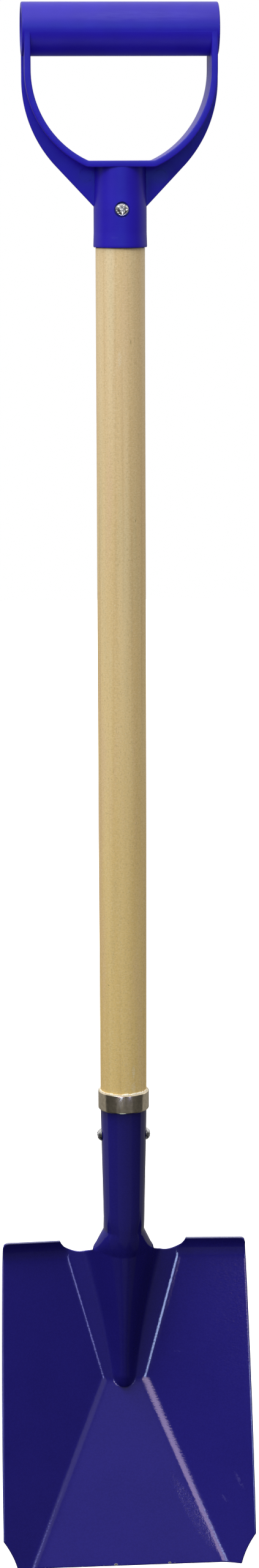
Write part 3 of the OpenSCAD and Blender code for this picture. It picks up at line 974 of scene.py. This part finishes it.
# Small marks: x, z, half width, half height, shift for each mm downwards
PLASTIC_SCUFFS = [(-3.9, -89.2, 2.4, 0.6, 0.0), (10.0, 19.0, 38.0, 3.0, 0.0),
                  (-28.1, -46.3, 1.2, 0.5, -0.8)]
WOOD_FLECKS = [(4.3, -141.4, 0.3, 1.3, 0.0), (-8.3, -476.2, 0.4, 0.4, 0.0), (6.5, -232.0, 0.25, 0.8, 0.0)]
WOOD_SCUFFS = [(4.5, -523.0, 0.9, 4.0, 0.0), (4.4, -531.5, 1.2, 3.0, 0.0), (-1.5, -150.0, 1.0, 5.0, 0.0)]
COARSE_PAINT = [(34.5, -765.0, 4.5, 22.0, 0.55)]
PAINT_SCRATCHES = [(59.3, -746.6, 1.3, 4.5, 0.55), (51.4, -756.7, 1.2, 2.4, 0.9),
                   (28.0, -682.7, 2.4, 0.4, 0.0)]
EDGE_NICKS = [(-7.6, -789.2, 1.0, 0.5, 0.0), (21.3, -789.2, 0.8, 0.5, 0.0)]

# Colours, and pairs of colours that a noise varies between
BLUE_PLASTIC = [(0.0165, 0.0060, 0.36), (0.0187, 0.0069, 0.405)]
RUBBED_PLASTIC = (0.10, 0.10, 0.50)
LOW_WOOD = [(0.80, 0.55, 0.195), (0.87, 0.63, 0.255)]
HIGH_WOOD = [(0.78, 0.565, 0.30), (0.86, 0.665, 0.415)]
PINK_WOOD = (0.80, 0.54, 0.33)
GREEN_WOOD = (0.66, 0.55, 0.31)
DARK_STREAK = (0.56, 0.34, 0.14)
DARK_RIPPLE = (0.50, 0.36, 0.18)
PALE_RIPPLE = (0.90, 0.76, 0.52)
DARK_SPECK = (0.42, 0.28, 0.13)
PALE_SPECK = (0.88, 0.78, 0.60)
DARK_FLECK = (0.34, 0.24, 0.09)
RUBBED_WOOD = (0.86, 0.78, 0.60)
WOOD_FIBRE = [(0.74, 0.60, 0.38), (0.98, 0.93, 0.82)]
BLUE_ENAMEL = [(0.0067, 0.0049, 0.082), (0.0077, 0.0056, 0.090)]
PALE_GRAIN = (0.012, 0.010, 0.125)
SCRATCHED_ENAMEL = (0.08, 0.07, 0.20)
# Painted highlight: pale grey on the treads' top edges, where they catch the light from above
TREAD_HIGHLIGHT = (0.062, 0.062, 0.105)
BARE_STEEL = (0.62, 0.60, 0.57)
NICKEL = (0.70, 0.71, 0.74)
RING_PLATING = (0.86, 0.76, 0.58)

# The wood's tone changes between these heights on the shaft
LOW_WOOD_Z = -535
HIGH_WOOD_Z = -95


def plastic():
    """Blue moulded plastic with faint clouds, a fine grain and rubbed patches."""
    s = Shader("moulded_plastic")
    colour = s.blend(s.ramp(s.cells(0.06, 3), 0.3, 0.7), *BLUE_PLASTIC)
    rubbed = s.noise(s.stretched(0.12, 1.8, 1.8), 3, 0.6)
    scuffs = s.times(s.marks(PLASTIC_SCUFFS), s.ramp(rubbed, 0.35, 0.6))
    colour = s.blend(s.times(scuffs, 0.12), colour, RUBBED_PLASTIC)
    normal = s.bump(s.cells(2.2, 3, 0.6), 0.02, 0.5)
    normal = s.bump(rubbed, 0.02, 0.4, normal)
    normal = s.bump(s.cells(0.12), 0.25, 0.4, normal)
    s.set(base_color=colour, roughness=s.ramp(rubbed, 0.3, 0.7, 0.36, 0.46), normal=normal, ior=1.5)
    return s.material


def wood_tones(s):
    """Broad tones of the wood: yellower low down, with soft pink and green patches."""
    broad = s.ramp(s.noise(s.stretched(0.10, 0.10, 0.003)), 0.35, 0.65)
    hue = s.noise(s.stretched(0.13, 0.13, 0.009))
    height = s.ramp(s.axis("Z"), LOW_WOOD_Z, HIGH_WOOD_Z)
    colour = s.blend(height, s.blend(broad, *LOW_WOOD), s.blend(broad, *HIGH_WOOD))
    colour = s.blend(s.ramp(hue, 0.52, 0.75, 0.0, 0.55), colour, PINK_WOOD)
    return s.blend(s.ramp(hue, 0.46, 0.2, 0.0, 0.4), colour, GREEN_WOOD)


def wood():
    """Turned wood: long streaks, ripples left by the lathe, specks, flecks and scuffs."""
    s = Shader("turned_wood")
    streak = s.noise(s.stretched(0.32, 0.32, 0.004), 3, 0.5, 0.4)
    ripple = s.noise(s.stretched(0.8, 0.8, 1.9), 3, 0.65)
    speck = s.noise(s.stretched(2.0, 2.0, 0.8), 3, 0.7)
    pale = s.noise(s.stretched(2.6, 2.6, 1.3), 2, 0.6)
    colour = s.blend(s.ramp(streak, 0.5, 0.8, 0.0, 0.4), wood_tones(s), DARK_STREAK)
    colour = s.blend(s.ramp(ripple, 0.48, 0.75, 0.0, 0.3), colour, DARK_RIPPLE)
    colour = s.blend(s.ramp(ripple, 0.52, 0.28, 0.0, 0.35), colour, PALE_RIPPLE)
    colour = s.blend(s.ramp(speck, 0.52, 0.75, 0.0, 0.45), colour, DARK_SPECK)
    colour = s.blend(s.ramp(pale, 0.6, 0.78, 0.0, 0.4), colour, PALE_SPECK)
    colour = s.blend(s.times(s.marks(WOOD_FLECKS), 0.6), colour, DARK_FLECK)
    rubbed = s.times(s.marks(WOOD_SCUFFS), s.ramp(pale, 0.4, 0.65, 0.0, 0.6))
    colour = s.blend(rubbed, colour, RUBBED_WOOD)
    normal = s.bump(s.math("ADD", speck, ripple), 0.06, 0.5)
    s.set(base_color=colour, roughness=s.ramp(speck, 0.3, 0.7, 0.5, 0.65), normal=normal, ior=1.45)
    return s.material


def tread_highlight_mask(s):
    """1 on the edge of the treads, where a highlight is painted, and 0 below it."""
    aside = s.math("SUBTRACT", s.math("ABSOLUTE", s.axis("X")), TREAD_START_X)
    rise = s.times(aside, TREAD_RISE / (TREAD_W / 2 - TREAD_START_X))
    above = s.math("SUBTRACT", s.axis("Z"), s.math("ADD", rise, MOUTH_Z - TREAD_AT))
    return s.times(s.ramp(above, -0.6, -0.1), s.ramp(aside, -0.5, 1.0))


def bare_metal(s):
    """1 in the chips and nicks along the cutting edge."""
    edge_z = MOUTH_Z - TIP_AT
    chips = s.times(s.ramp(s.axis("Z"), edge_z + 0.3, edge_z + 0.9, 1.0, 0.0),
                    s.ramp(s.cells(0.55, 3, 0.65), 0.64, 0.68))
    return s.math("MAXIMUM", chips, s.marks(EDGE_NICKS))


def enamel():
    """Gloss enamel: orange peel, a fine ripple below the neck, scratches and a painted highlight on the
    treads' edges.
    """
    s = Shader("gloss_enamel")
    grit = s.cells(1.1, 2, 0.6)
    dust = s.cells(2.5, 3, 0.6)
    ripple = s.noise(s.stretched(0.6, 0.6, 1.3), 2, 0.6)
    neck_z = MOUTH_Z - NOTCH_DROP
    below_neck = s.ramp(s.axis("Z"), neck_z - 10, neck_z, 1.0, 0.0)
    normal = s.bump(s.cells(0.35, 3, 0.55), 0.05, 0.35)
    coarse = s.times(s.marks(COARSE_PAINT), s.math("SUBTRACT", grit, 0.5))
    normal = s.bump(coarse, 0.5, 0.4, normal)
    ripple = s.times(below_neck, s.math("SUBTRACT", ripple, 0.5))
    normal = s.bump(ripple, 0.05, 0.6, normal)
    colour = s.blend(s.ramp(s.cells(0.03, 3), 0.3, 0.7), *BLUE_ENAMEL)
    colour = s.blend(s.ramp(grit, 0.38, 0.62, 0.0, 0.22), colour, PALE_GRAIN)
    scratched = s.times(s.marks(PAINT_SCRATCHES), s.ramp(grit, 0.4, 0.6))
    colour = s.blend(s.times(scratched, 0.18), colour, SCRATCHED_ENAMEL)
    # Painted highlight in patches along the treads' top edges
    edge_highlight = s.times(tread_highlight_mask(s), s.ramp(dust, 0.3, 0.6, 0.5, 1.0))
    colour = s.blend(edge_highlight, colour, TREAD_HIGHLIGHT)
    bare = bare_metal(s)
    colour = s.blend(bare, colour, BARE_STEEL)
    s.set(base_color=colour, roughness=s.ramp(dust, 0.35, 0.7, 0.07, 0.11), metallic=bare,
          normal=normal, ior=1.5)
    return s.material


def steel(name, colour, roughness):
    """Bright metal with darker blotches and fine marks."""
    s = Shader(name)
    fine = s.noise(s.stretched(3.0, 3.0, 0.6), 3, 0.6)
    dark = tuple(c * 0.8 for c in colour)
    s.set(base_color=s.blend(s.ramp(s.cells(0.5, 3, 0.6), 0.3, 0.7), dark, colour), metallic=1.0,
          roughness=s.ramp(fine, 0.3, 0.7, roughness, roughness + 0.1), normal=s.bump(fine, 0.02, 0.4))
    return s.material


def fibres():
    s = Shader("wood_fibres")
    fine = s.noise(s.stretched(2.0, 2.0, 3.0), 3, 0.7)
    s.set(base_color=s.blend(s.ramp(fine, 0.3, 0.55), *WOOD_FIBRE), roughness=0.8,
          normal=s.bump(fine, 0.2, 0.8))
    return s.material


# Stage, light and camera

FLOOR_HALF_W = 6000
FLOOR_DROP = 300


def make_stage():
    """Plain white floor well below the shovel. Only the camera sees it: it takes no part in the
    light, so that it neither tints the shovel nor stands in the way of the low lamps."""
    w = FLOOR_HALF_W
    floor = new_piece("floor", [(-w, -w, 0), (w, -w, 0), (w, w, 0), (-w, w, 0)], [[0, 1, 2, 3]])
    place(floor, in_mm(0, 0, MOUTH_Z - TIP_AT - FLOOR_DROP))
    white = Shader("white_floor")
    white.set(base_color=(0.9, 0.9, 0.9, 1), emission=(1, 1, 1, 1), emission_strength=1.0)
    floor.data.materials.append(white.material)
    floor.visible_glossy = False
    floor.visible_diffuse = False
    floor.visible_transmission = False
    floor.visible_shadow = False


# Strength of the room in front of the shovel, below the horizon there, overhead, and behind the
# shovel at middle height, low down and high up
ROOM_FRONT = 0.05
ROOM_FRONT_LOW = 0.04
ROOM_TOP = 1.25
ROOM_BACK = 0.28
ROOM_BACK_LOW = 0.10
ROOM_BACK_HIGH = 1.0
ROOM_COLOUR = (1.0, 0.97, 0.92, 1)

# What is left of the front's strength at the floor and at the shovel's sides
FRONT_FLOOR_SHARE = 0.4
FRONT_SIDE_SHARE = 0.45

# Parts of a direction, up, forwards or backwards, over which the room's strength changes
FRONT_HORIZON = (-0.25, 0.03)
FRONT_FLOOR = (-0.8, -0.35)
FRONT_SIDE = (0.05, 0.6)
BACK_FLOOR = (-0.75, -0.3)
BACK_HORIZON = (-0.1, 0.3)
BACK_START = (-0.02, 0.12)
OVERHEAD_POWER = 1.5


def room_strength(n):
    """Strength of the room's light in each direction."""
    split = n.new("SeparateXYZ")
    n.link(n.new("TexCoord").outputs["Generated"], split.inputs[0])
    backwards, up = split.outputs["Y"], split.outputs["Z"]
    front = n.ramp(up, *FRONT_HORIZON, ROOM_FRONT_LOW, ROOM_FRONT)
    front = n.times(front, n.ramp(up, *FRONT_FLOOR, FRONT_FLOOR_SHARE, 1.0))
    forwards = n.times(backwards, -1.0)
    front = n.times(front, n.ramp(forwards, *FRONT_SIDE, FRONT_SIDE_SHARE, 1.0))
    overhead = n.math("POWER", n.math("MAXIMUM", up, 0.0), OVERHEAD_POWER)
    front = n.math("ADD", front, n.times(overhead, ROOM_TOP))
    back = n.math("ADD", n.ramp(up, *BACK_FLOOR, ROOM_BACK_LOW, ROOM_BACK),
                  n.ramp(up, *BACK_HORIZON, 0.0, ROOM_BACK_HIGH - ROOM_BACK))
    level = n.new("Mix")
    n.link(n.ramp(backwards, *BACK_START), level.inputs["Factor"])
    n.link(front, level.inputs["A"])
    n.link(back, level.inputs["B"])
    return level.outputs["Result"]


def make_world():
    """White to the camera. To the shovel it is a room that is dark in front, lighter overhead
    and bright behind, as in a photograph taken against a white backdrop."""
    world = bpy.data.worlds.new("studio")
    bpy.context.scene.world = world
    world.use_nodes = True
    n = Nodes(world.node_tree)
    room = n.new("Background")
    room.inputs["Color"].default_value = ROOM_COLOUR
    n.link(room_strength(n), room.inputs["Strength"])
    shown = n.new("Background")
    shown.inputs["Color"].default_value = (1, 1, 1, 1)
    pick = n.new("MixShader")
    n.link(n.new("LightPath").outputs["Is Camera Ray"], pick.inputs["Fac"])
    n.link(room.outputs[0], pick.inputs[1])
    n.link(shown.outputs[0], pick.inputs[2])
    n.link(pick.outputs[0], n.new("OutputWorld").inputs["Surface"])


LAMP_DISTANCE = 2.2


def softbox(name, azimuth, elevation, size_m, radiance, colour=(1, 1, 1), aim_z=-0.4, only=(),
            fill=False):
    """Rectangular lamp that faces the shaft at the height aim_z, in a direction in degrees:
    azimuth 0 is in front of the shovel and positive to its right. It lights all the pieces or
    only those given, and as a fill lamp it leaves no highlights."""
    turn, rise = math.radians(azimuth), math.radians(elevation)
    towards = Vector((math.sin(turn) * math.cos(rise), -math.cos(turn) * math.cos(rise), math.sin(rise)))
    data = bpy.data.lights.new(name, "AREA")
    data.shape = "RECTANGLE"
    data.size, data.size_y = size_m
    data.energy = radiance * math.pi * size_m[0] * size_m[1]
    data.color = colour
    lamp = bpy.data.objects.new(name, data)
    bpy.context.scene.collection.objects.link(lamp)
    lamp.location = Vector((0, 0, aim_z)) + towards * LAMP_DISTANCE
    lamp.rotation_mode = "QUATERNION"
    lamp.rotation_quaternion = (-towards).to_track_quat("-Z", "Y")
    lamp.visible_camera = False
    lamp.visible_glossy = not fill
    if only:
        lit = bpy.data.collections.new("lit_by_" + name)
        for piece in only:
            lit.objects.link(piece)
        lamp.light_linking.receiver_collection = lit


# Azimuth, elevation and radiance of the small lamps that glitter in the handle's screw
SCREW_SPARKLES = [(-38, 30, 26.0), (26, 38, 18.0), (12, -18, 20.0), (42, 0, 14.0), (-34, -24, 16.0),
                  (8, -50, 16.0)]

# Azimuth and radiance of the faint wide lamps low down in front of the ring and the blade
LOW_GLOWS = [(-68, 0.042), (0, 0.10), (68, 0.045)]

# Heights that the lamps for single pieces are aimed at, in metres
SCREW_Z = -0.07
RING_Z = -0.54
SOCKET_Z = -0.61
GLOW_Z = -0.62


def light_handle(handle, screw):
    softbox("handle_front", 0, 14, (1.6, 0.5), 1.7, (0.35, 1.0, 0.9), -0.05, [handle])
    softbox("handle_low", 5, -55, (1.2, 1.2), 3.0, aim_z=0, only=[handle], fill=True)
    softbox("screw_front", 0, 5, (1.6, 1.6), 0.75, (0.94, 0.95, 1.0), SCREW_Z, [screw])
    for number, (azimuth, elevation, radiance) in enumerate(SCREW_SPARKLES):
        softbox("screw_lamp_%d" % number, azimuth, elevation, (0.3, 0.3), radiance, aim_z=SCREW_Z,
                only=[screw])


def light_low_end(ring, blade, side_screws):
    """Lamps for the ring and the blade, whose strips make the lines of light on the socket and
    along the creases."""
    both = [ring, blade]
    softbox("ring_front", -11, -17, (0.5, 0.5), 0.06, (1.0, 0.9, 0.65), RING_Z, [ring])
    softbox("ring_edge", -14, -70, (0.6, 0.6), 4.0, (0.7, 0.88, 1.0), RING_Z, [ring])
    softbox("blade_top", -90, 77, (1.2, 1.2), 38.0, aim_z=-0.7, only=[blade], fill=True)
    for number, (azimuth, radiance) in enumerate(LOW_GLOWS):
        softbox("low_glow_%d" % number, azimuth, -18, (3.0, 1.2), radiance, aim_z=GLOW_Z,
                only=both + side_screws)
    softbox("left_strip_low", -15, 0, (0.31, 0.28), 16.0, (0.48, 0.60, 1.0), SOCKET_Z, both)
    softbox("left_strip_high", -18, 0, (0.93, 0.37), 5.6, (0.98, 0.76, 1.0), -0.235, both)
    softbox("right_strip_low", 23, 0, (0.21, 0.28), 8.0, (0.42, 0.44, 1.0), SOCKET_Z, both)
    softbox("right_strip_high", 23, 0, (0.60, 0.50), 0.55, (0.9, 0.85, 1.0), -0.30, both)


def make_lights(handle, handle_screw, shaft, ring, blade, side_screws):
    softbox("key", -48, 32, (1.0, 1.0), 5.6, fill=True)
    softbox("top", 0, 60, (1.6, 1.2), 2.4, fill=True)
    softbox("shine", -46, 44, (0.7, 0.7), 4.5, (0.7, 0.97, 1.0))
    softbox("ceiling", 0, 98, (1.4, 0.6), 0.4)
    light_handle(handle, handle_screw)
    softbox("shaft_side", 75, 5, (1.0, 1.0), 1.8, (0.85, 1.0, 1.0), only=[shaft], fill=True)
    light_low_end(ring, blade, side_screws)


# The camera as worked out from the photograph: focal length in its pixels, place and turns
CAMERA_F_PX = 5373.7
IMAGE_H_PX = 2560.0
SENSOR_MM = 36.0
CAMERA_DISTANCE = 1.6845
CAMERA_Z = -0.0453
CAMERA_YAW = math.radians(4.28)
CAMERA_PAN = math.radians(0.127)
CAMERA_TILT = math.radians(10.93)
CAMERA_ROLL = math.radians(-0.202)


def make_camera():
    data = bpy.data.cameras.new("camera")
    data.sensor_width = SENSOR_MM
    data.lens = SENSOR_MM * CAMERA_F_PX / IMAGE_H_PX
    camera = bpy.data.objects.new("camera", data)
    bpy.context.scene.collection.objects.link(camera)
    camera.location = (-CAMERA_DISTANCE * math.sin(CAMERA_YAW), -CAMERA_DISTANCE * math.cos(CAMERA_YAW),
                       CAMERA_Z)
    camera.rotation_mode = "QUATERNION"
    turn = (Matrix.Rotation(-CAMERA_YAW - CAMERA_PAN, 3, "Z")
            @ Matrix.Rotation(math.pi / 2 - CAMERA_TILT, 3, "X") @ Matrix.Rotation(CAMERA_ROLL, 3, "Z"))
    camera.rotation_quaternion = turn.to_quaternion()
    bpy.context.scene.camera = camera


def dress(piece, material, node=None):
    """Gives a piece its material and its body, and hides the CAD node that it stands for."""
    piece.data.materials.clear()
    piece.data.materials.append(material)
    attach(piece, "root")
    if node:
        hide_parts(node)


def main():
    bpy.context.scene.view_settings.view_transform = "Standard"
    nickel = steel("nickel", NICKEL, 0.11)
    handle, shaft, ring, blade = make_d_handle(), make_shaft(), make_ring(), make_blade()
    dress(handle, plastic(), "d_handle")
    handle_screw = make_handle_screw()
    dress(handle_screw, nickel, "handle_screw")
    dress(shaft, wood(), "shaft")
    dress(ring, steel("plated_steel", RING_PLATING, 0.13), "collar_ring")
    dress(make_fringe(), fibres())
    dress(blade, enamel(), "blade")
    side_screws = [make_side_screw(-1), make_side_screw(1)]
    dress(side_screws[0], nickel, "socket_screw_left")
    dress(side_screws[1], nickel, "socket_screw_right")
    make_camera()
    make_stage()
    make_world()
    make_lights(handle, handle_screw, shaft, ring, blade, side_screws)


main()
